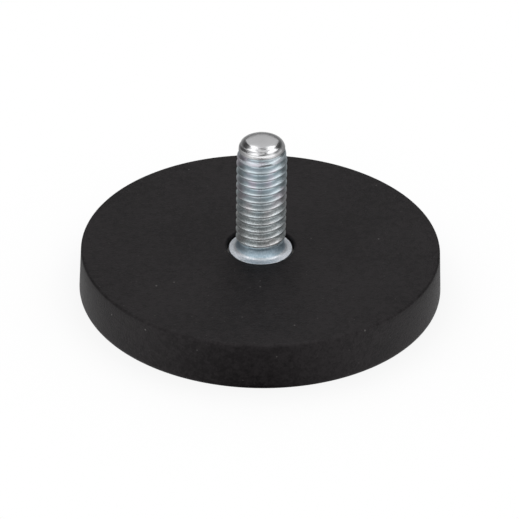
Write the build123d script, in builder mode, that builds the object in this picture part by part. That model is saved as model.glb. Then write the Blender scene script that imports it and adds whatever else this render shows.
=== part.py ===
"""Rubber-jacketed pot magnet with an M6 threaded stud, in millimetres.

The contact face lies on the XY plane and the stud stands along +Z.  A ring of disc magnets
sits under a steel back plate.  The stud is riveted through the plate, and one rubber jacket is
moulded round plate, magnets and rivet head.  Only the stud stands out of it.
"""

from build123d import *
from math import radians, tan
import os

# ---- Driving sizes -------------------------------------------------------------------------

# Rubber jacket
jacket_diameter = 43.0  # at the mould's parting line, the widest place
side_draft = 3.0  # degrees, the side leans in above the parting line
side_wall = 1.6  # rubber outside the back plate, at the top face
cover_thickness = 1.1  # rubber over the back plate
contact_skin = 0.9  # rubber under the magnets
contact_edge_chamfer = 0.6  # from the contact face up to the parting line
top_edge_chamfer = 0.25
stud_hole_chamfer = 0.3

# Back plate
plate_thickness = 1.5

# Disc magnets
magnet_count = 6  # even, since the poles alternate
magnet_diameter = 10.0
magnet_height = 2.5
magnet_inset = 1.2  # from the plate's rim to the magnet's edge

# Threaded stud, M6 x 1
stud_length = 15.55  # from the back plate to the tip
thread_major_diameter = 5.9  # over the crests, inside the 6g limits of 5.794 and 5.974
neck_diameter = 5.3  # bare rod under the thread
neck_length = 0.05  # the last turn comes down almost to the flare
thread_runout_length = 0.4  # where the last turn fades into the neck
thread_lead_length = 1.45  # where the first turns rise from the tip
lead_diameter = 5.5  # over the crests of the first turn
tip_round_radius = 1.2
collar_diameter = 7.5
collar_height = 0.8  # from the back plate to the collar's rim
collar_lip = 0.1  # flat rim round the flare
flare_height = 1.1  # cone that widens from the neck to the collar's rim
shank_diameter = 4.8  # through the back plate
rivet_head_diameter = 7.2
rivet_head_height = 0.9
rivet_head_chamfer = 0.4

# Clearances
collar_gap = 0.25  # between the collar and the jacket's stud hole
rivet_clearance = 0.05  # between the shank and the plate's hole

# ---- Sizes that follow ---------------------------------------------------------------------

jacket_radius = jacket_diameter / 2
plate_base = contact_skin + magnet_height
plate_top = plate_base + plate_thickness
jacket_height = plate_top + cover_thickness
drafted_height = jacket_height - contact_edge_chamfer
jacket_top_radius = jacket_radius - drafted_height * tan(radians(side_draft))

plate_radius = jacket_top_radius - side_wall
plate_hole_radius = shank_diameter / 2 + rivet_clearance

magnet_radius = magnet_diameter / 2
magnet_ring_radius = plate_radius - magnet_inset - magnet_radius

neck_radius = neck_diameter / 2
lead_radius = lead_diameter / 2
thread_radius = thread_major_diameter / 2
collar_radius = collar_diameter / 2
rivet_head_base = plate_base - rivet_head_height
rivet_head_radius = rivet_head_diameter / 2
stud_hole_radius = collar_radius + collar_gap

collar_rim = plate_top + collar_height
neck_base = collar_rim + flare_height
thread_runout_base = neck_base + neck_length
thread_base = thread_runout_base + thread_runout_length
tip = plate_top + stud_length
tip_round_base = tip - tip_round_radius
thread_top = tip_round_base - thread_lead_length

# ---- Steel back plate ----------------------------------------------------------------------

with BuildPart() as steel_plate:
    with BuildSketch(Plane.XY.offset(plate_base)):
        Circle(plate_radius)
        Circle(plate_hole_radius, mode=Mode.SUBTRACT)
    extrude(amount=plate_thickness)

# ---- Disc magnets, evenly spaced round the plate -------------------------------------------

magnets = []
for number in range(magnet_count):
    with BuildPart() as magnet:
        with BuildSketch(Plane.XY.offset(contact_skin)):
            with PolarLocations(magnet_ring_radius, 1, start_angle=number * 360 / magnet_count):
                Circle(magnet_radius)
        extrude(amount=magnet_height)
    magnets.append(magnet)

# ---- Threaded stud, one turned and headed piece --------------------------------------------

with BuildPart() as threaded_stud:
    with BuildSketch(Plane.XZ) as stud_section:
        with BuildLine():
            # Rivet head, shank, collar, flare, neck, run-out, thread over its crests, and lead.
            Polyline(
                (0, rivet_head_base),
                (rivet_head_radius, rivet_head_base),
                (rivet_head_radius, plate_base),
                (shank_diameter / 2, plate_base),
                (shank_diameter / 2, plate_top),
                (collar_radius, plate_top),
                (collar_radius, collar_rim),
                (collar_radius - collar_lip, collar_rim),
                (neck_radius, neck_base),
                (neck_radius, thread_runout_base),
                (thread_radius, thread_base),
                (thread_radius, thread_top),
                (lead_radius, tip_round_base),
            )
            # The tip is rounded down to a small flat end.
            CenterArc(
                center=(lead_radius - tip_round_radius, tip_round_base),
                radius=tip_round_radius,
                start_angle=0,
                arc_size=90,
            )
            Polyline(
                (lead_radius - tip_round_radius, tip),
                (0, tip),
                (0, rivet_head_base),
            )
        make_face()
    revolve(axis=Axis.Z)
    chamfer(threaded_stud.edges().group_by(Axis.Z)[0], rivet_head_chamfer)

# ---- Rubber jacket, moulded round the other pieces -----------------------------------------

with BuildPart() as rubber_jacket:
    with BuildSketch(Plane.XZ) as jacket_section:
        with BuildLine():
            Polyline(
                (0, 0),
                (jacket_radius - contact_edge_chamfer, 0),
                (jacket_radius, contact_edge_chamfer),
                (jacket_top_radius, jacket_height),
                (0, jacket_height),
                close=True,
            )
        make_face()
    revolve(axis=Axis.Z)
    chamfer(rubber_jacket.edges().group_by(Axis.Z)[-1], top_edge_chamfer)

    # The stud comes out through a round hole that leaves its collar free.
    with BuildSketch(Plane.XY.offset(plate_top)):
        Circle(stud_hole_radius)
    extrude(amount=cover_thickness, mode=Mode.SUBTRACT)
    hole_mouth = rubber_jacket.edges().group_by(Axis.Z)[-1].sort_by(SortBy.RADIUS)[0]
    chamfer(hole_mouth, stud_hole_chamfer)

    # The riveted shank closes the plate's hole, so the rubber stays out of it.
    with BuildSketch(Plane.XY.offset(plate_base)):
        Circle(plate_hole_radius)
    extrude(amount=plate_thickness, mode=Mode.SUBTRACT)

    # Every insert leaves its own form in the rubber.
    for insert in (steel_plate, threaded_stud, *magnets):
        add(insert.part, mode=Mode.SUBTRACT)

# ---- Output, one STEP file a piece ---------------------------------------------------------

os.makedirs("parts", exist_ok=True)

rubber_jacket.part.label = "rubber_jacket"
export_step(rubber_jacket.part, "parts/rubber_jacket.step")

steel_plate.part.label = "steel_plate"
export_step(steel_plate.part, "parts/steel_plate.step")

threaded_stud.part.label = "threaded_stud"
export_step(threaded_stud.part, "parts/threaded_stud.step")

for number, magnet in enumerate(magnets, start=1):
    magnet.part.label = f"magnet_{number}"
    export_step(magnet.part, f"parts/magnet_{number}.step")
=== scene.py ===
"""Looks of the rubber-jacketed pot magnet: black moulded rubber, a zinc-plated M6 stud and white ground.

The CAD frame gives the places.  Sizes and profiles are in millimetres and are turned into metres when
a mesh is made.  Materials, lamps and camera are in metres, unless a value says otherwise.  Z runs up
the stud's axis from the contact face, and the camera looks from the -Y side.
"""

import math

import bmesh
import bpy
from mathutils import Matrix, Vector


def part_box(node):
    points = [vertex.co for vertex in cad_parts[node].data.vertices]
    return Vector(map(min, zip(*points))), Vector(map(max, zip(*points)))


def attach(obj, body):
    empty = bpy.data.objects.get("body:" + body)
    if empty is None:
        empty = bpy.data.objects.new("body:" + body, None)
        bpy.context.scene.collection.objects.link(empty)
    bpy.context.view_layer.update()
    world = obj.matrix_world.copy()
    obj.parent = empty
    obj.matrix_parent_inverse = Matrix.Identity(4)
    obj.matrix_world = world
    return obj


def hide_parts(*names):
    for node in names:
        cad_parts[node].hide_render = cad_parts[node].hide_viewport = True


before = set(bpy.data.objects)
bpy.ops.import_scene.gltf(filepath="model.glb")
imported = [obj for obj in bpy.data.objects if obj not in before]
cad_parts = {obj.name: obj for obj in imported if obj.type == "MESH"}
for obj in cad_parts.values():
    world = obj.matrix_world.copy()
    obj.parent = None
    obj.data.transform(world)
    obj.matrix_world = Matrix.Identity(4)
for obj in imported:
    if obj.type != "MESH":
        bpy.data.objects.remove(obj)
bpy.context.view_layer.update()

MM = 0.001
TURN = 2 * math.pi

# ---- Sizes of the object, in millimetres, from the CAD nodes and the thread's own standard --------


def cad_box(node):
    """The lowest and the highest corner of a CAD node."""
    low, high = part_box(node)
    return low / MM, high / MM


_, jacket_high = cad_box("rubber_jacket")
plate_low, plate_high = cad_box("steel_plate")
stud_low, stud_high = cad_box("threaded_stud")
magnet_low, magnet_high = cad_box("magnet_1")

# Jacket
jacket_radius = jacket_high.x
jacket_height = jacket_high.z
side_draft = math.radians(3.0)
contact_edge_radius = 0.75
top_edge_radius = 0.3
stud_hole_radius = 4.0
stud_hole_lip_radius = 0.3

# Back plate
plate_radius = plate_high.x
plate_base = plate_low.z
plate_top = plate_high.z
plate_hole_radius = 2.45
plate_edge_break = 0.2

# Magnets
magnet_radius = (magnet_high.x - magnet_low.x) / 2
magnet_ring_radius = (magnet_high.x + magnet_low.x) / 2
magnet_base = magnet_low.z
magnet_count = 6
magnet_edge_break = 0.25
pocket_overrun = 0.5  # how far the cutter of their pockets reaches up into the plate's seat

# Stud: rivet head, shank, collar, flare and neck
rivet_head_base = stud_low.z
rivet_head_radius = 3.6
rivet_head_round = 0.5
shank_radius = 2.4
collar_radius = stud_high.x
collar_rim = 5.7
collar_lip = 0.1
collar_edge_round = 0.06
flare_height = 1.1
flare_slope = 0.2  # the part of its height that the flare climbs evenly, before it curves up
flare_curve = 6  # power of that curve
neck_radius = 2.65
neck_base = collar_rim + flare_height

# Stud: thread
pitch = 1.0
thread_radius = 2.95
thread_root_round = 0.10 * pitch
thread_crest_width = 0.20
thread_crest_round = 0.05
thread_runout_base = neck_base + 0.02
thread_base = thread_runout_base + 0.4
thread_top = 17.8  # from here up the first turns narrow
crest_height_at_left = 15.30  # a crest's height on the stud's -X side
flank_angle = math.radians(30)  # between a flank and a plane across the axis
flank_slope = math.sqrt(3)  # radius gained for each millimetre along the axis
thread_apex = thread_radius - (pitch - thread_crest_width) / 2 * flank_slope  # sharp bottom of the groove

# Stud: rounded tip, and the groove that dies out in it
tip = stud_high.z
tip_round_height = 1.4
tip_round_base = tip - tip_round_height
tip_round_side, tip_round_top = 4.5, 2.5  # powers of the tip's curve, over its radius and its height
lead_radius = 2.735  # over the crests where the tip's round begins
lead_curve = 1.5  # power of the narrowing up to there
groove_start = thread_runout_base - 0.25
groove_fade_base, groove_fade_top = 18.2, 19.9  # between these the groove takes its last depth
last_groove_depth = 0.24
last_groove_fade_base, groove_end = 19.86, 20.08  # between these it runs out
groove_clearance = 0.01  # how far outside the tip's curve its bottom ends
least_groove_half_width = 0.12  # keeps the mesh rows apart where the groove has run out

# Stud: a rolling fold under a crest, its ends as (degrees right of front, height)
fold_start, fold_end = (-3, 18.43), (26, 18.54)
fold_depth = 0.12
fold_width = 0.075

# Meshes
JACKET_SEGMENTS = 288
PLATE_SEGMENTS = 192
MAGNET_SEGMENTS = 96
POCKET_SEGMENTS = 64
GROUND_SEGMENTS = 96
STUD_COLUMNS = 144
FLARE_STEPS, FLARE_CROWDING = 24, 1.7  # its rings crowd together towards the neck
TIP_STEPS, TIP_CROWDING = 14, 1.4  # its rings crowd together towards the tip's edge
ROOT_AND_FLANK = (0.0, 0.15, 0.3, 0.5, 0.7, 0.84, 0.94)  # rows of the thread, shares of half a groove
SHOULDER = (0.025, 0.06)  # rows past the groove's edge
LAND = (0.5, 1.0)  # rows from there on, shares of the way to the land's middle
thread_grid_base = neck_base - 0.02  # where the thread's grid is cut off, just under the neck's foot
thread_grid_top = tip_round_base + 1.25  # and well up in the tip's round
TIP_RISE_LIMIT = 0.98  # share of the tip's round that only the grid's waste passes
NO_RADIUS = 1e-6
SAME_POINT = 0.002
SAME_HEIGHT = 1e-4

# ---- Mesh helpers ---------------------------------------------------------------------------------


def shade(mesh, sharp_degrees=35):
    """Smooth shading, with the edges that bend by more than the angle left sharp."""
    mesh.shade_smooth()
    mesh.set_sharp_from_angle(angle=math.radians(sharp_degrees))


def new_piece(bm, name, **shading):
    """A new object in metres from the bmesh, which is in millimetres."""
    bmesh.ops.recalc_face_normals(bm, faces=bm.faces)
    bmesh.ops.scale(bm, vec=Vector((MM, MM, MM)), verts=bm.verts)
    mesh = bpy.data.meshes.new(name)
    bm.to_mesh(mesh)
    bm.free()
    shade(mesh, **shading)
    piece = bpy.data.objects.new(name, mesh)
    bpy.context.scene.collection.objects.link(piece)
    return piece


def arc(centre, radius, start_degrees, end_degrees, steps):
    """Points of an arc in the (r, z) section, both ends included."""
    sweep = end_degrees - start_degrees
    angles = [math.radians(start_degrees + sweep * n / steps) for n in range(steps + 1)]
    return [(centre[0] + radius * math.cos(a), centre[1] + radius * math.sin(a)) for a in angles]


def line(start, end, steps):
    """Points between start and end in the section, the end included and the start left out."""
    return [
        (start[0] + (end[0] - start[0]) * n / steps, start[1] + (end[1] - start[1]) * n / steps)
        for n in range(1, steps + 1)
    ]


def even_angles(count):
    return [TURN * n / count for n in range(count)]


def ring(bm, radius, height, angles, centre=(0, 0)):
    """A ring of points, or a single point where there is no radius."""
    if radius < NO_RADIUS:
        return [bm.verts.new((centre[0], centre[1], height))]
    return [
        bm.verts.new((centre[0] + radius * math.cos(a), centre[1] + radius * math.sin(a), height))
        for a in angles
    ]


def join_rings(bm, first, second):
    """Faces between two rings, either of which may be a single point on the axis."""
    count = max(len(first), len(second))
    for n in range(count):
        m = (n + 1) % count
        if len(first) == 1:
            bm.faces.new((first[0], second[n], second[m]))
        elif len(second) == 1:
            bm.faces.new((first[n], first[m], second[0]))
        else:
            bm.faces.new((first[n], first[m], second[m], second[n]))


def lathe(bm, section, segments, centre=(0, 0)):
    """A closed turned solid from a section that starts and ends on the axis."""
    angles = even_angles(segments)
    rings = [ring(bm, r, z, angles, centre) for r, z in section]
    for first, second in zip(rings, rings[1:]):
        join_rings(bm, first, second)


def rivet_head_end():
    """The rivet head's lower edge and face, on to the axis.  The stud has it, and so has its seat."""
    centre = (rivet_head_radius - rivet_head_round, rivet_head_base + rivet_head_round)
    return arc(centre, rivet_head_round, 0, -90, 5) + [(0, rivet_head_base)]


# ---- Rubber jacket --------------------------------------------------------------------------------


def jacket_section():
    """Outer skin, stud hole, and the seat that the rubber keeps round the plate and the rivet head."""
    side_normal = math.degrees(side_draft)
    low_centre = (jacket_radius - contact_edge_radius, contact_edge_radius)
    side_foot = (
        low_centre[0] + contact_edge_radius * math.cos(side_draft),
        low_centre[1] + contact_edge_radius * math.sin(side_draft),
    )
    edge_z = jacket_height - top_edge_radius
    side_top_radius = side_foot[0] - (edge_z - side_foot[1]) * math.tan(side_draft)
    top_centre = (side_top_radius - top_edge_radius * math.cos(side_draft), edge_z)
    lip_centre = (stud_hole_radius + stud_hole_lip_radius, jacket_height - stud_hole_lip_radius)
    points = [(0, 0)]
    points += line((0, 0), (low_centre[0], 0), 12)
    points += arc(low_centre, contact_edge_radius, -90, side_normal, 10)[1:]
    points += line(side_foot, (side_top_radius, edge_z + top_edge_radius * math.sin(side_draft)), 8)
    points += arc(top_centre, top_edge_radius, side_normal, 90, 6)[1:]
    points += line((top_centre[0], jacket_height), (lip_centre[0], jacket_height), 14)
    points += arc(lip_centre, stud_hole_lip_radius, 90, 180, 6)[1:]
    points += line((stud_hole_radius, lip_centre[1]), (stud_hole_radius, plate_top), 2)
    points += [
        (plate_radius - plate_edge_break, plate_top),
        (plate_radius, plate_top - plate_edge_break),
        (plate_radius, plate_base + plate_edge_break),
        (plate_radius - plate_edge_break, plate_base),
        (rivet_head_radius, plate_base),
    ]
    return points + rivet_head_end()


def magnet_section(top):
    edge = magnet_edge_break
    return [
        (0, magnet_base),
        (magnet_radius - edge, magnet_base),
        (magnet_radius, magnet_base + edge),
        (magnet_radius, top - edge),
        (magnet_radius - edge, top),
        (0, top),
    ]


def magnet_centre(number):
    angle = TURN * (number - 1) / magnet_count
    return magnet_ring_radius * math.cos(angle), magnet_ring_radius * math.sin(angle)


def make_jacket():
    """The jacket, with a pocket cut for each magnet."""
    bm = bmesh.new()
    lathe(bm, jacket_section(), JACKET_SEGMENTS)
    jacket = new_piece(bm, "rubber_jacket_skin")
    pockets = bmesh.new()
    section = magnet_section(plate_base + pocket_overrun)
    for number in range(1, magnet_count + 1):
        lathe(pockets, section, POCKET_SEGMENTS, magnet_centre(number))
    cutter = new_piece(pockets, "magnet_pockets")
    cut = jacket.modifiers.new("pockets", "BOOLEAN")
    cut.object = cutter
    cut.operation = "DIFFERENCE"
    cut.solver = "EXACT"
    depsgraph = bpy.context.evaluated_depsgraph_get()
    mesh = bpy.data.meshes.new_from_object(jacket.evaluated_get(depsgraph))
    jacket.modifiers.clear()
    jacket.data = mesh
    bpy.data.objects.remove(cutter)
    shade(mesh)
    return jacket


# ---- Back plate and magnets -----------------------------------------------------------------------


def make_plate():
    """The ring that carries the stud, with its outer edges broken."""
    edge = plate_edge_break
    section = [
        (plate_hole_radius, plate_base),
        (plate_radius - edge, plate_base),
        (plate_radius, plate_base + edge),
        (plate_radius, plate_top - edge),
        (plate_radius - edge, plate_top),
        (plate_hole_radius, plate_top),
    ]
    bm = bmesh.new()
    angles = even_angles(PLATE_SEGMENTS)
    rings = [ring(bm, r, z, angles) for r, z in section]
    for first, second in zip(rings, rings[1:] + rings[:1]):
        join_rings(bm, first, second)
    return new_piece(bm, "steel_back_plate")


def make_magnet(number):
    bm = bmesh.new()
    lathe(bm, magnet_section(plate_base), MAGNET_SEGMENTS, magnet_centre(number))
    return new_piece(bm, f"disc_magnet_{number}", sharp_degrees=30)


# ---- Threaded stud --------------------------------------------------------------------------------


def smooth_step(low, high, value):
    t = min(max((value - low) / (high - low), 0), 1)
    return t * t * (3 - 2 * t)


def smooth_min(a, b, width):
    """The smaller of two values, with a rounded change from one to the other."""
    h = max(width - abs(a - b), 0) / width
    return min(a, b) - h * h * width / 4


def envelope(z):
    """Radius over the crests at height z: neck, run-out, full thread, lead and rounded tip."""
    if z < thread_runout_base:
        return neck_radius
    if z < thread_base:
        return neck_radius + (thread_radius - neck_radius) * smooth_step(thread_runout_base, thread_base, z)
    if z < thread_top:
        return thread_radius
    if z < tip_round_base:
        share = (z - thread_top) / (tip_round_base - thread_top)
        return thread_radius + (lead_radius - thread_radius) * share ** lead_curve
    rise = min((z - tip_round_base) / tip_round_height, TIP_RISE_LIMIT)
    return lead_radius * (1 - rise ** tip_round_top) ** (1 / tip_round_side)


def tip_height(radius):
    """Height of the tip's curve at a radius."""
    share = radius / lead_radius
    return tip_round_base + tip_round_height * (1 - share ** tip_round_side) ** (1 / tip_round_top)


def groove_apex(z):
    """Radius of the groove's sharp bottom, before it is rounded.  It rises at the run-out and the tip."""
    start = smooth_step(groove_start, thread_base, z)
    end = smooth_step(groove_fade_base, groove_fade_top, z)
    left = 1 - smooth_step(last_groove_fade_base, groove_end, z)
    last_depth = last_groove_depth * left - groove_clearance
    last_apex = envelope(z) - last_depth - thread_root_round
    return neck_radius + (thread_apex - neck_radius) * start + (last_apex - thread_apex) * end


def groove_radius(offset, apex):
    """Radius of the groove's wall at an axial offset from its middle."""
    x = abs(offset)
    if x > thread_root_round * math.cos(flank_angle):
        return apex + flank_slope * x
    return apex + 2 * thread_root_round - math.sqrt(thread_root_round ** 2 - x ** 2)


def groove_rows(half_width):
    """Axial offsets of the mesh rows from the groove's middle up to the next land's middle."""
    rows = [share * half_width for share in ROOT_AND_FLANK] + [half_width + step for step in SHOULDER]
    edge = rows[-1]
    return rows + [edge + (pitch / 2 - edge) * share for share in LAND]


def thread_rows(middle):
    """(radius, height) of each mesh row of one groove whose middle is at that height."""
    depth = envelope(middle) - groove_apex(middle)
    widest = (pitch - thread_crest_width) / 2
    up = groove_rows(min(max(depth / flank_slope, least_groove_half_width), widest))
    rows = []
    for offset in [-x for x in reversed(up[1:-1])] + up:
        z = middle + offset
        wall = groove_radius(offset, groove_apex(z))
        rows.append((smooth_min(envelope(z), wall, thread_crest_round), z))
    return rows


def thread_grid(bm, low, high):
    """The helical thread as rows that follow the helix, a little past both heights."""
    first_groove = crest_height_at_left + pitch / 2
    while first_groove > low - 1.5 * pitch:
        first_groove -= pitch
    turns = math.ceil((high - first_groove) / pitch) + 2
    columns = []
    for n in range(STUD_COLUMNS):
        angle = math.pi + TURN * n / STUD_COLUMNS
        column = []
        for turn in range(turns):
            for radius, height in thread_rows(first_groove + pitch * (turn + n / STUD_COLUMNS)):
                column.append(bm.verts.new((radius * math.cos(angle), radius * math.sin(angle), height)))
        columns.append(column)
    # The last column joins the first one a turn higher up.
    rows_per_turn = len(columns[0]) // turns
    columns.append(columns[0][rows_per_turn:])
    for here, there in zip(columns, columns[1:]):
        for m in range(min(len(here), len(there)) - 1):
            bm.faces.new((here[m], there[m], there[m + 1], here[m + 1]))


def press_fold(bm):
    """Presses the short fold that the thread rolling left under one of the first crests, and stores the
    painted shade of its crease as the fold attribute.
    """
    painted_shade = bm.verts.layers.float.new("fold")
    for v in bm.verts:
        angle = math.degrees(math.atan2(v.co.x, -v.co.y))
        along = (angle - fold_start[0]) / (fold_end[0] - fold_start[0])
        if not 0 < along < 1:
            continue
        middle = fold_start[1] + (fold_end[1] - fold_start[1]) * along
        across = (v.co.z - middle) / fold_width
        v[painted_shade] = math.sin(math.pi * along) ** 0.5 * math.exp(-across ** 2)
        shrink = 1 - fold_depth * v[painted_shade] / math.hypot(v.co.x, v.co.y)
        v.co.x *= shrink
        v.co.y *= shrink


def cut_flat(bm, height, keep_above):
    """Cuts the thread's grid off at a height."""
    bmesh.ops.bisect_plane(
        bm,
        geom=bm.verts[:] + bm.edges[:] + bm.faces[:],
        dist=1e-5,
        plane_co=(0, 0, height),
        plane_no=(0, 0, -1 if keep_above else 1),
        clear_outer=True,
    )
    bmesh.ops.remove_doubles(bm, verts=bm.verts, dist=SAME_POINT)


def rim_at(bm, height):
    """The grid's points at the height where it was cut, in order round the axis."""
    points = (v for v in bm.verts if abs(v.co.z - height) < SAME_HEIGHT)
    return sorted(points, key=lambda v: math.atan2(v.co.y, v.co.x))


def extend(bm, rim, section):
    """Carries a rim on through the section's points, to the axis."""
    angles = [math.atan2(v.co.y, v.co.x) for v in rim]
    previous = rim
    for radius, height in section:
        following = ring(bm, radius, height, angles)
        join_rings(bm, previous, following)
        previous = following


def tip_section():
    """The tip's end, from the grid's upper rim to the axis."""
    rim_radius = envelope(thread_grid_top)
    radii = [rim_radius * (1 - (n / TIP_STEPS) ** TIP_CROWDING) for n in range(1, TIP_STEPS + 1)]
    return [(radius, tip_height(radius)) for radius in radii]


def flare_section():
    """The flare, from the foot of the neck down to the collar's rim."""
    width = collar_radius - collar_lip - neck_radius
    curve = flare_height - flare_slope
    points = []
    for n in range(FLARE_STEPS + 1):
        share = (n / FLARE_STEPS) ** FLARE_CROWDING
        height = collar_rim + flare_slope * (1 - share) + curve * (1 - share) ** flare_curve
        points.append((neck_radius + width * share, height))
    return points


def foot_section():
    """Flare, collar, shank and rivet head, from the grid's lower rim to the axis."""
    edge = collar_edge_round
    points = flare_section()
    points += arc((collar_radius - edge, collar_rim - edge), edge, 90, 0, 4)
    points += [
        (collar_radius, plate_top),
        (shank_radius, plate_top),
        (shank_radius, plate_base),
        (rivet_head_radius, plate_base),
    ]
    return points + rivet_head_end()


def make_stud():
    """The stud as one closed skin: a grid for the thread, carried on at both ends."""
    bm = bmesh.new()
    thread_grid(bm, thread_grid_base, thread_grid_top)
    press_fold(bm)
    cut_flat(bm, thread_grid_base, keep_above=True)
    cut_flat(bm, thread_grid_top, keep_above=False)
    lower_rim = rim_at(bm, thread_grid_base)
    upper_rim = rim_at(bm, thread_grid_top)
    extend(bm, upper_rim, tip_section())
    extend(bm, lower_rim, foot_section())
    return new_piece(bm, "zinc_stud", sharp_degrees=50)


# ---- Node trees -----------------------------------------------------------------------------------


class Tree:
    """A node tree, with short calls for the nodes that are used here."""

    def __init__(self, tree):
        self.tree = tree

    def add(self, kind, **settings):
        node = self.tree.nodes.new(kind)
        for name, value in settings.items():
            setattr(node, name, value)
        return node

    def put(self, value, socket):
        """Sets a number or a colour on the socket, or links another node's output to it."""
        if isinstance(value, (int, float)):
            socket.default_value = value
        elif isinstance(value, tuple):
            socket.default_value = (*value, 1)
        else:
            self.tree.links.new(value, socket)

    def math(self, operation, *values):
        node = self.add("ShaderNodeMath", operation=operation)
        for value, socket in zip(values, node.inputs):
            self.put(value, socket)
        return node.outputs["Value"]

    def times(self, a, b):
        return self.math("MULTIPLY", a, b)

    def weighted_sum(self, *parts):
        """The sum of values that each come with a weight."""
        total, *others = [self.times(value, weight) for value, weight in parts]
        for other in others:
            total = self.math("ADD", total, other)
        return total

    def map_range(self, value, from_min, from_max, to_min=0.0, to_max=1.0, kind="LINEAR"):
        """The value taken from one range to the other, and held at its ends."""
        node = self.add("ShaderNodeMapRange", interpolation_type=kind)
        names = ("Value", "From Min", "From Max", "To Min", "To Max")
        for name, setting in zip(names, (value, from_min, from_max, to_min, to_max)):
            self.put(setting, node.inputs[name])
        return node.outputs["Result"]

    def ease(self, *value_and_ranges):
        """What map_range does, but as a smooth step."""
        return self.map_range(*value_and_ranges, kind="SMOOTHSTEP")

    def ramp(self, factor, stops):
        """A colour ramp; stops are (position, colour)."""
        node = self.add("ShaderNodeValToRGB")
        elements = node.color_ramp.elements
        while len(elements) < len(stops):
            elements.new(0.5)
        for element, (position, colour) in zip(elements, stops):
            element.position = position
            element.color = (*colour, 1)
        self.put(factor, node.inputs["Fac"])
        return node.outputs["Color"]

    def grey_ramp(self, factor, stops):
        """A level between 0 and 1 that follows (position, level) stops."""
        return self.ramp(factor, [(position, (level, level, level)) for position, level in stops])

    def mix(self, factor, a, b, kind="RGBA"):
        node = self.add("ShaderNodeMix", data_type=kind)
        for name, value in (("Factor", factor), ("A", a), ("B", b)):
            self.put(value, node.inputs[name])
        return node.outputs["Result"]

    def parts(self, vector):
        """The vector's X, Y and Z."""
        node = self.add("ShaderNodeSeparateXYZ")
        self.put(vector, node.inputs[0])
        return node.outputs

    def pick(self, share, first, second):
        """The second shader where the share is 1, and the first where it is 0."""
        node = self.add("ShaderNodeMixShader")
        for value, socket in zip((share, first, second), node.inputs):
            self.put(value, socket)
        return node.outputs[0]


class Material(Tree):
    """A new material round Blender's Principled shader."""

    def __init__(self, name):
        self.material = bpy.data.materials.new(name)
        self.material.use_nodes = True
        super().__init__(self.material.node_tree)
        self.shader = self.tree.nodes["Principled BSDF"]
        self.position = self.add("ShaderNodeTexCoord").outputs["Object"]

    def set(self, name, value):
        self.put(value, self.shader.inputs[name])

    def noise(self, scale, detail=3.0, roughness=0.5, stretch=None):
        """Noise between 0 and 1.  Its scale is in cells a metre, times stretch along each axis."""
        node = self.add("ShaderNodeTexNoise")
        self.put(scale, node.inputs["Scale"])
        self.put(detail, node.inputs["Detail"])
        self.put(roughness, node.inputs["Roughness"])
        place = self.position
        if stretch:
            mapping = self.add("ShaderNodeMapping")
            mapping.inputs["Scale"].default_value = stretch
            self.put(place, mapping.inputs["Vector"])
            place = mapping.outputs["Vector"]
        self.put(place, node.inputs["Vector"])
        return node.outputs["Fac"]

    def specks(self, spacing, radius, share):
        """1 on small round specks, whose centres are cells' points; share is how many cells have one."""
        cells = self.add("ShaderNodeTexVoronoi")
        self.put(1 / spacing, cells.inputs["Scale"])
        self.put(self.position, cells.inputs["Vector"])
        lot = self.add("ShaderNodeSeparateColor")
        self.put(cells.outputs["Color"], lot.inputs["Color"])
        chosen = self.math("LESS_THAN", lot.outputs["Red"], share)
        core, edge = 0.5 * radius / spacing, radius / spacing
        return self.times(chosen, self.map_range(cells.outputs["Distance"], core, edge, 1, 0))

    def over(self, base, share, amount, colour):
        """The base with a colour laid over it, as thick as share times amount."""
        return self.mix(self.times(share, amount), base, colour)

    def bump(self, height, distance, strength, after=None):
        """A normal from the height, on top of another bump's where one is given."""
        node = self.add("ShaderNodeBump")
        self.put(distance, node.inputs["Distance"])
        self.put(strength, node.inputs["Strength"])
        self.put(height, node.inputs["Height"])
        if after is not None:
            self.put(after, node.inputs["Normal"])
        return node.outputs["Normal"]


# ---- Materials ------------------------------------------------------------------------------------

RUBBER_DARK, RUBBER_PALE = (0.0022, 0.0018, 0.0020), (0.0072, 0.0061, 0.0065)
RUBBER_GLOSS_TINT = (1.0, 0.93, 0.965)
DUST = (0.16, 0.155, 0.15)
ZINC_BLUE, ZINC_PALE, ZINC_MAUVE = (0.575, 0.67, 0.715), (0.61, 0.69, 0.73), (0.665, 0.65, 0.71)
LOW_ZINC_BLUE, LOW_ZINC_GREY, LOW_ZINC_TAN = (0.56, 0.62, 0.655), (0.58, 0.61, 0.605), (0.62, 0.60, 0.57)
BARE_ZINC = (0.66, 0.66, 0.67)
# painted shade for the crease of the rolling fold
FOLD_PAINTED_SHADE = (0.07, 0.07, 0.07)
STEEL_DARK, STEEL_PALE = (0.44, 0.43, 0.42), (0.56, 0.55, 0.54)
NICKEL_DARK, NICKEL_PALE = (0.63, 0.60, 0.55), (0.70, 0.67, 0.62)

# Blotches in the zinc, as (dark, pale)
LOW_BLOTCHES = (0.27, 0.30, 0.31), (0.84, 0.88, 0.90)
FOOT_BLOTCHES = (0.36, 0.49, 0.58), (0.52, 0.63, 0.71)
# the rim's pale blotches are random tone on a painted highlight of the flare's outer rim
RIM_BLOTCHES_AND_PAINTED_HIGHLIGHT = (0.66, 0.71, 0.75), (0.86, 0.86, 0.90)

# Heights on the stud, in millimetres, where there is (none, all) of a part of its finish
CAP_SETS_IN = (19.0, 19.4)
LOW_SETS_IN = (15.0, 11.0)
LOW_ENDS = (6.6, 7.2)
FOOT_SETS_IN = (7.4, 6.8)
# heights of the painted highlight on the flare's outer rim
PAINTED_RIM_HIGHLIGHT_SETS_IN = (6.08, 5.9)


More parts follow.
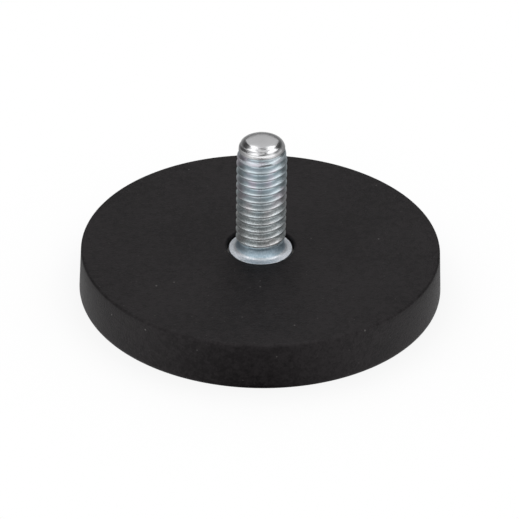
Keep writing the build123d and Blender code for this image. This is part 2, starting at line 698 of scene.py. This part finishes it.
def rubber_material():
    """Black moulded rubber with a fine matte grain, slight clouding and a few specks of dust."""
    n = Material("black_rubber")
    grain = n.noise(3600, detail=4.0, roughness=0.6)
    patch = n.noise(1300, detail=4.0, roughness=0.65)
    cloud = n.noise(120, detail=2.0)
    tone = n.weighted_sum((grain, 0.35), (patch, 0.45), (cloud, 0.2))
    large_specks = n.times(n.specks(spacing=0.0010, radius=0.00014, share=0.04), 0.55)
    small_specks = n.times(n.specks(spacing=0.0006, radius=0.00009, share=0.14), 0.22)
    dust = n.math("MAXIMUM", large_specks, small_specks)
    n.set("Base Color", n.mix(dust, n.ramp(tone, [(0.40, RUBBER_DARK), (0.60, RUBBER_PALE)]), DUST))
    n.set("Roughness", n.map_range(tone, 0.38, 0.62, 0.48, 0.64))
    n.set("IOR", 1.39)
    n.set("Specular IOR Level", n.map_range(tone, 0.43, 0.57, 0.375, 0.555))
    n.set("Specular Tint", RUBBER_GLOSS_TINT)
    n.set("Normal", n.bump(grain, distance=0.00007, strength=0.8))
    return n.material


def zinc_material():
    """Blue-passivated zinc, streaked round the axis by the rolling.

    The cap of the tip is barer and smoother, and the low turns are blotched and pitted.  The foot, which
    is the neck with the flare and the collar, is bluer and rougher, and paler on the flare's outer rim,
    which is a painted highlight.
    """
    n = Material("zinc_plate")
    cloud = n.noise(420, detail=3.0)
    streaks = n.noise(5200, detail=4.0, roughness=0.6, stretch=(0.12, 0.12, 1.0))
    grain = n.noise(5200, detail=3.0, roughness=0.6)
    blotch = n.map_range(grain, 0.40, 0.60)
    height = n.parts(n.position)["Z"]
    # the fold attribute carries the painted shade of the rolling fold's crease
    fold = n.add("ShaderNodeAttribute", attribute_name="fold").outputs["Fac"]

    def sets_in(heights):
        return n.map_range(height, heights[0] * MM, heights[1] * MM)

    cap = sets_in(CAP_SETS_IN)
    low = n.times(sets_in(LOW_SETS_IN), sets_in(LOW_ENDS))
    foot = sets_in(FOOT_SETS_IN)
    # rim: where the painted highlight on the flare's outer rim lies
    rim = n.times(foot, sets_in(PAINTED_RIM_HIGHLIGHT_SETS_IN))

    upper_colour = n.ramp(cloud, [(0.3, ZINC_BLUE), (0.5, ZINC_PALE), (0.62, ZINC_MAUVE)])
    lower_colour = n.ramp(cloud, [(0.35, LOW_ZINC_BLUE), (0.5, LOW_ZINC_GREY), (0.65, LOW_ZINC_TAN)])
    colour = n.over(upper_colour, low, 0.8, lower_colour)
    colour = n.over(colour, low, 0.45, n.mix(blotch, *LOW_BLOTCHES))
    colour = n.over(colour, foot, 0.9, n.mix(blotch, *FOOT_BLOTCHES))
    # the paler colour here is a painted highlight on the flare's rim, with random blotches
    colour = n.over(colour, rim, 0.9, n.mix(blotch, *RIM_BLOTCHES_AND_PAINTED_HIGHLIGHT))
    colour = n.mix(cap, colour, BARE_ZINC)
    # the dark colour along the fold is painted shade in its crease
    n.set("Base Color", n.over(colour, fold, 0.95, FOLD_PAINTED_SHADE))
    n.set("Metallic", 1.0)

    rough = n.math("ADD", n.map_range(streaks, 0.3, 0.7, 0.30, 0.40), n.times(low, 0.02))
    by_zone = n.times(n.map_range(cap, 0, 1, 1, 0.58), n.map_range(foot, 0, 1, 1, 1.25))
    n.set("Roughness", n.times(rough, by_zone))
    n.set("Anisotropic", n.map_range(foot, 0, 1, 0.5, 0.15))
    n.set("Anisotropic Rotation", 0.25)
    n.set("Tangent", n.add("ShaderNodeTangent", direction_type="RADIAL", axis="Z").outputs["Tangent"])
    rolled = n.bump(streaks, distance=0.000012, strength=0.3)
    pits = n.times(grain, n.math("MAXIMUM", low, foot))
    n.set("Normal", n.bump(pits, distance=0.00002, strength=0.5, after=rolled))
    return n.material


def plate_material():
    """Rolled steel, streaked along Y by the rolling."""
    n = Material("rolled_steel")
    streaks = n.noise(900, detail=4.0, stretch=(1, 0.04, 1))
    n.set("Base Color", n.ramp(streaks, [(0.3, STEEL_DARK), (0.7, STEEL_PALE)]))
    n.set("Metallic", 1.0)
    n.set("Roughness", n.map_range(streaks, 0.3, 0.7, 0.32, 0.45))
    n.set("Normal", n.bump(streaks, distance=0.00002, strength=0.4))
    return n.material


def nickel_material():
    """Bright nickel plate with a slight clouding."""
    n = Material("nickel_plate")
    cloud = n.noise(500, detail=3.0)
    n.set("Base Color", n.ramp(cloud, [(0.3, NICKEL_DARK), (0.7, NICKEL_PALE)]))
    n.set("Metallic", 1.0)
    n.set("Roughness", n.map_range(cloud, 0.3, 0.7, 0.12, 0.2))
    n.set("Normal", n.bump(cloud, distance=0.00001, strength=0.3))
    return n.material


# ---- Ground, light and camera ---------------------------------------------------------------------

GROUND_RADIUS = 1600.0  # in millimetres, as the next one is
GROUND_DROP = 0.02  # keeps the ground off the contact face
GROUND_GREY = (0.8, 0.8, 0.8)
SHADOW_REACH = 0.02
CLOSE_GROUND_END, FAR_GROUND_START = 0.024, 0.030  # from the stud's axis
WHITE = (1.0, 1.0, 1.0)
STUD_MIDDLE = (0, 0, 0.01)


def emptied_tree(owner):
    owner.use_nodes = True
    owner.node_tree.nodes.clear()
    return Tree(owner.node_tree)


def ground_for_camera(tree):
    """White, with a faint painted shadow round the object."""
    openness = tree.add("ShaderNodeAmbientOcclusion", samples=8)
    tree.put(SHADOW_REACH, openness.inputs["Distance"])
    return tree.ease(openness.outputs["AO"], 0.5, 1.0, 0.92, 1.0)


def ground_for_gloss(tree):
    """Painted shadow and light: next to the object it brightens from black in front, a painted shadow, to
    white at the sides and behind.

    Further out it is brightest to the left and the right of the front, as painted light.
    """
    position = tree.add("ShaderNodeTexCoord").outputs["Object"]
    place = tree.parts(position)
    azimuth = tree.math("ARCTAN2", place["X"], tree.times(place["Y"], -1.0))
    way = tree.math("DIVIDE", tree.math("ABSOLUTE", azimuth), math.pi)  # 0 in front, 1 behind
    close = tree.grey_ramp(way, [(0.0, 0.0), (0.1, 0.31), (0.22, 0.57), (0.5, 0.74), (1.0, 1.0)])
    afar = tree.grey_ramp(way, [(0.0, 0.22), (0.25, 0.95), (0.5, 0.4), (0.75, 0.25), (1.0, 0.7)])
    distance = tree.add("ShaderNodeVectorMath", operation="LENGTH")
    tree.put(position, distance.inputs[0])
    is_afar = tree.ease(distance.outputs["Value"], CLOSE_GROUND_END, FAR_GROUND_START)
    return tree.mix(is_afar, tree.times(close, 1.3), afar, "FLOAT")


def make_floor():
    """White ground that camera, gloss and glass see as a glow with painted shadow, and that is matte for
    all other light.
    """
    bm = bmesh.new()
    bmesh.ops.create_circle(bm, cap_ends=True, segments=GROUND_SEGMENTS, radius=GROUND_RADIUS)
    floor = new_piece(bm, "ground")
    floor.location.z = -GROUND_DROP * MM
    material = bpy.data.materials.new("white_ground")
    tree = emptied_tree(material)
    ray = tree.add("ShaderNodeLightPath").outputs
    is_seen = tree.math("MAXIMUM", ray["Is Camera Ray"], ray["Is Glossy Ray"])
    is_seen = tree.math("MAXIMUM", is_seen, ray["Is Transmission Ray"])
    level = tree.mix(ray["Is Camera Ray"], ground_for_gloss(tree), ground_for_camera(tree), "FLOAT")
    matte = tree.add("ShaderNodeBsdfDiffuse")
    tree.put(GROUND_GREY, matte.inputs["Color"])
    glow = tree.add("ShaderNodeEmission")
    tree.put(level, glow.inputs["Strength"])
    surface = tree.pick(is_seen, matte.outputs[0], glow.outputs[0])
    tree.put(surface, tree.add("ShaderNodeOutputMaterial").inputs["Surface"])
    floor.data.materials.append(material)


def sky(tree, level):
    """A white background of that level."""
    node = tree.add("ShaderNodeBackground")
    tree.put(WHITE, node.inputs["Color"])
    tree.put(level, node.inputs["Strength"])
    return node.outputs[0]


def make_world():
    """White for the camera, and a room for all else.

    The room is pale at the horizon and overhead, with a dim band between, and it is dimmer at the back.
    A pale patch stands low in front.
    """
    world = bpy.data.worlds.new("studio")
    bpy.context.scene.world = world
    tree = emptied_tree(world)
    way = tree.parts(tree.add("ShaderNodeTexCoord").outputs["Generated"])
    up, back = way["Z"], way["Y"]
    # By the sine of the elevation: horizon, 15, 30, 45 and 60 degrees, zenith.
    bands = [(0.0, 0.9), (0.26, 0.45), (0.5, 0.12), (0.707, 0.13), (0.866, 0.55), (1.0, 0.85)]
    room = tree.times(tree.grey_ramp(up, bands), tree.ease(back, 0.26, 0.42, 1.0, 0.45))
    is_front = tree.ease(tree.times(back, -1.0), 0.22, 0.6)
    low_front = tree.times(is_front, tree.ease(up, 0.56, 0.37))
    level = tree.math("ADD", room, tree.times(low_front, 0.85))
    is_camera = tree.add("ShaderNodeLightPath").outputs["Is Camera Ray"]
    surface = tree.pick(is_camera, sky(tree, level), sky(tree, 1.0))
    tree.put(surface, tree.add("ShaderNodeOutputWorld").inputs["Surface"])


def soft_box(name, place, width, length, radiance, target=None):
    """A rectangular lamp with an even radiance, which faces its target or else straight down."""
    light = bpy.data.lights.new(name, "AREA")
    light.shape = "RECTANGLE"
    light.size = width
    light.size_y = length
    light.energy = radiance * math.pi * width * length
    lamp = bpy.data.objects.new(name, light)
    bpy.context.scene.collection.objects.link(lamp)
    lamp.location = place
    if target:
        lamp.rotation_euler = (Vector(place) - Vector(target)).to_track_quat("Z", "Y").to_euler()
    lamp.visible_camera = False


def make_lamps():
    """A large box over each side, a lower one behind the stud, and a narrow one at each side of that."""
    soft_box("left_box", place=(-0.72, -0.38, 0.9), width=0.9, length=1.3, radiance=1.15)
    soft_box("right_box", place=(0.82, -0.30, 0.9), width=0.95, length=1.25, radiance=1.3)
    soft_box("back_box", place=(0, 0.65, 0.58), width=0.54, length=0.50, radiance=0.62, target=STUD_MIDDLE)
    soft_box("rear_left_box", place=(-0.24, 0.50, 0.9), width=0.28, length=0.56, radiance=1.6)
    soft_box("rear_right_box", place=(0.28, 0.50, 0.9), width=0.32, length=0.56, radiance=1.6)


def make_camera():
    """A long lens that looks down on the object from the front."""
    elevation = math.radians(32.462)
    roll = math.radians(0.870)
    distance = 0.36471
    target = Vector((-0.0001015, 0, 0.003985))
    data = bpy.data.cameras.new("camera")
    data.sensor_width = 36.0
    data.lens = 213.14
    data.clip_start = 0.01
    camera = bpy.data.objects.new("camera", data)
    bpy.context.scene.collection.objects.link(camera)
    back = Vector((0, -math.cos(elevation), math.sin(elevation)))
    turn = Matrix.Rotation(math.pi / 2 - elevation, 4, "X") @ Matrix.Rotation(roll, 4, "Z")
    camera.matrix_world = Matrix.Translation(target + back * distance) @ turn
    bpy.context.scene.camera = camera


# ---- Build ----------------------------------------------------------------------------------------


def dress(piece, node, material):
    """Gives the piece its material, ties it to the body, and hides the CAD node that it stands for."""
    piece.data.materials.clear()
    piece.data.materials.append(material)
    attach(piece, "root")
    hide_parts(node)


dress(make_jacket(), "rubber_jacket", rubber_material())
dress(make_plate(), "steel_plate", plate_material())
dress(make_stud(), "threaded_stud", zinc_material())
nickel = nickel_material()
for number in range(1, magnet_count + 1):
    dress(make_magnet(number), f"magnet_{number}", nickel)

make_floor()
make_world()
make_lamps()
make_camera()

bpy.context.scene.view_settings.view_transform = "Standard"
